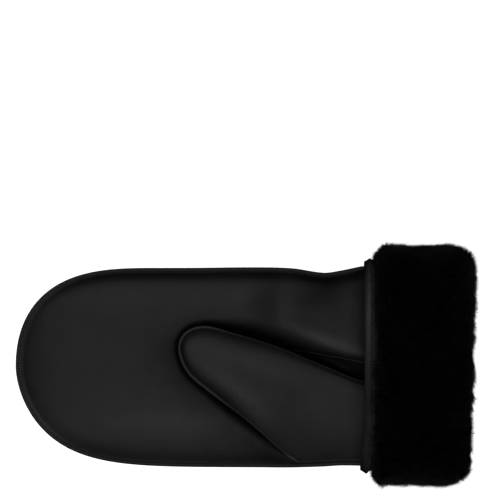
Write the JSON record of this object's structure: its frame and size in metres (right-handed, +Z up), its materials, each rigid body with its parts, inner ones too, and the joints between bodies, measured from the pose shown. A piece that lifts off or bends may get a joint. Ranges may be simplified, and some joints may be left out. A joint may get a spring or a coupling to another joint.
{
  "type": "leather mitten",
  "caption": "Lined leather mitten for the left hand, with a folded thumb, a welted edge seam and a deep turned-back fur cuff.",
  "frame": {"origin": "centre of the mitten's footprint, on the surface that it lies on", "axes": "+X from the fingertips to the cuff, +Y from the thumb side to the little finger, +Z up out of the palm"},
  "size_m": [0.281, 0.1474, 0.0676],
  "materials": {
    "leather": "fine grain, semi-matt",
    "trim": "fine grain, rolled edges",
    "fur": "dense short fur"
  },
  "bodies": {
    "root": {"palm_panel": "leather", "back_panel_little_finger": "leather", "back_panel_thumb": "leather", "back_seam_strip": "leather", "edge_welt": "trim", "thumb_upper_panel": "leather", "thumb_under_panel": "leather", "thumb_welt": "trim", "cuff_band": "trim", "cuff_fur": "fur"}
  },
  "joints": []
}
